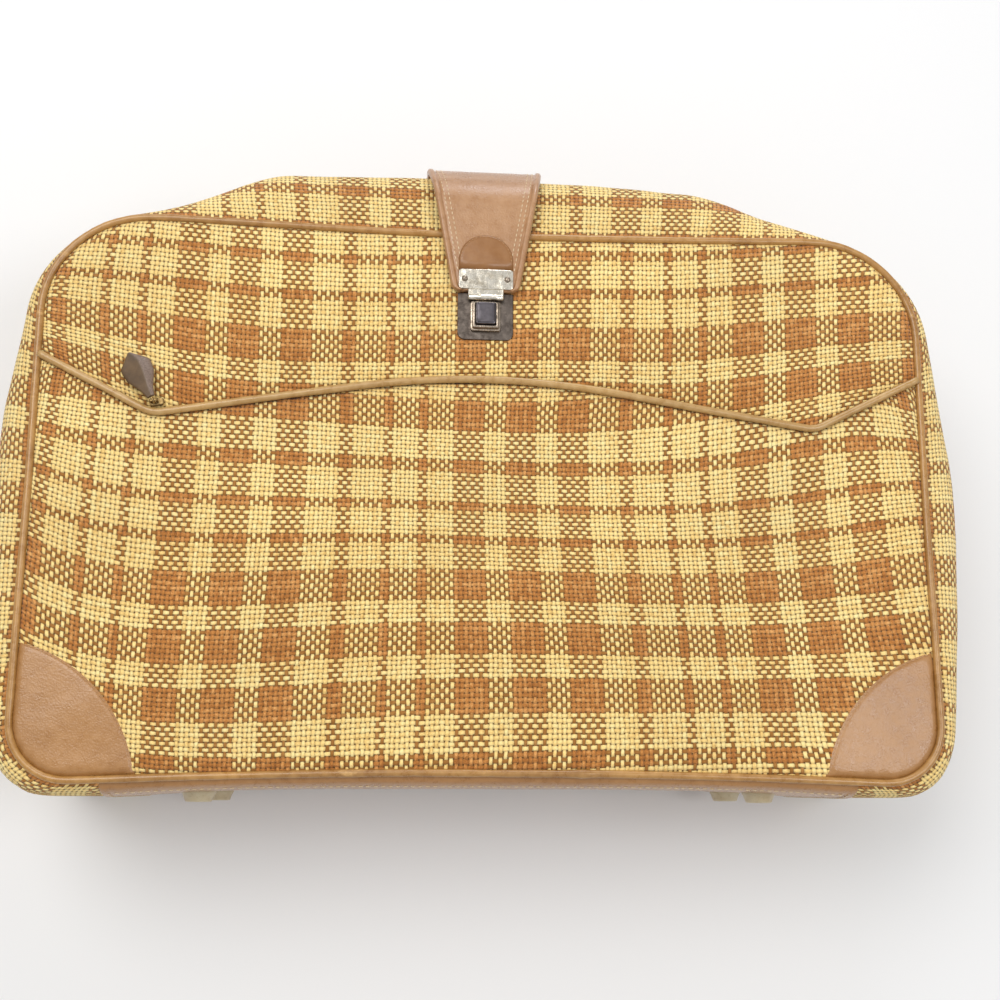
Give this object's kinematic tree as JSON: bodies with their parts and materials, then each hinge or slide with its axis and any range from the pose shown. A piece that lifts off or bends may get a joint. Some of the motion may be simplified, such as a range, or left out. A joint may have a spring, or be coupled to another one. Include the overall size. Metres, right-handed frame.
{
  "type": "soft-sided suitcase",
  "caption": "Soft-sided plaid case with a zipped hinged lid, strap and push-button lock, front pocket, swing handle and base feet.",
  "frame": {"origin": "middle of the flat face of the back panel, on the floor when the case lies on its back", "axes": "+Z out of the front panel, +Y towards the handle edge, +X to the right seen from the front"},
  "size_m": [0.447, 0.3116, 0.1221],
  "materials": {
    "plaid_fabric": "coarse plain weave in yellow and brown checks",
    "tan_vinyl": "smooth tan vinyl with fine grain",
    "piping_vinyl": "tan vinyl over cord",
    "strap_leather": "worn tan leather with fine grain",
    "inset_leather": "darker tan leather",
    "pull_leather": "brown folded leather",
    "grip_vinyl": "tan vinyl, padded",
    "fibre_board": "pressed fibre board",
    "lining_cloth": "plain beige lining",
    "zip_tape": "woven brown tape",
    "zip_metal": "aged brass",
    "nickel": "bright nickel plate",
    "dark_nickel": "tarnished nickel plate",
    "button_steel": "dark brushed steel",
    "foot_plastic": "cream moulded plastic"
  },
  "bodies": {
    "body": {"back_panel": "plaid_fabric", "back_board": "fibre_board", "back_lining": "lining_cloth", "back_piping": "piping_vinyl", "back_corner_patches": "tan_vinyl", "rear_gusset": "plaid_fabric", "base_panel": "tan_vinyl", "base_board": "fibre_board", "feet": "foot_plastic", "foot_rivets": "nickel", "rear_zip_tape": "zip_tape", "rear_zip_teeth": "zip_metal", "top_board": "fibre_board", "handle_chapes": "strap_leather", "handle_brackets": "nickel", "handle_rivets": "nickel", "strap_anchor": "strap_leather", "anchor_rivets": "nickel"},
    "lid": {"front_gusset": "plaid_fabric", "front_panel": "plaid_fabric", "pocket_panel": "plaid_fabric", "pocket_zip": "zip_tape", "pocket_piping": "piping_vinyl", "front_piping": "piping_vinyl", "front_board": "fibre_board", "front_lining": "lining_cloth", "front_corner_patches": "tan_vinyl", "front_zip_tape": "zip_tape", "front_zip_teeth": "zip_metal", "lock_plate": "dark_nickel", "lock_case": "dark_nickel", "lock_spring": "button_steel"},
    "strap": {"strap": "strap_leather", "strap_inset": "inset_leather", "hasp": "nickel", "hasp_rivets": "nickel"},
    "handle": {"handle_grip": "grip_vinyl"},
    "lock_button": {"lock_button": "button_steel"},
    "main_slider": {"main_slider": "zip_metal"},
    "main_pull": {"main_pull": "zip_metal"},
    "pocket_slider": {"pocket_slider": "zip_metal"},
    "pocket_pull": {"pocket_pull": "pull_leather", "pocket_ring": "zip_metal"}
  },
  "joints": [
    {"name": "lid_hinge", "type": "hinge", "parent": "body", "child": "lid", "pos_m": [0, -0.12825, 0.11425], "axis": [1, 0, 0], "range_deg": [0, 180]},
    {"name": "strap_swing", "type": "hinge", "parent": "lid", "child": "strap", "pos_m": [-0.0025, 0.167, 0.052], "axis": [-1, 0, 0], "range_deg": [0, 90]},
    {"name": "handle_swing", "type": "hinge", "parent": "body", "child": "handle", "pos_m": [0, 0.1697, 0.038], "axis": [1, 0, 0], "range_deg": [0, 90]},
    {"name": "button_press", "type": "slide", "parent": "lid", "child": "lock_button", "axis": [0, 0, -1], "range_m": [0, 0.0015], "stiffness_N_per_m": 800, "springref_m": -0.001, "deforming": ["lock_spring"]},
    {"name": "main_zip_slide", "type": "slide", "parent": "body", "child": "main_slider", "axis": [1, 0, 0], "range_m": [0, 0.05]},
    {"name": "main_pull_swing", "type": "hinge", "parent": "main_slider", "child": "main_pull", "pos_m": [-0.092, 0.167, 0.068], "axis": [0, 0, -1], "range_deg": [0, 150]},
    {"name": "pocket_zip_slide", "type": "slide", "parent": "lid", "child": "pocket_slider", "axis": [0.9865, 0.1636, 0], "range_m": [0, 0.09]},
    {"name": "pocket_pull_swing", "type": "hinge", "parent": "pocket_slider", "child": "pocket_pull", "pos_m": [-0.15094, 0.03683, 0.11995], "axis": [0.8746, 0.4848, 0], "range_deg": [0, 150]}
  ]
}
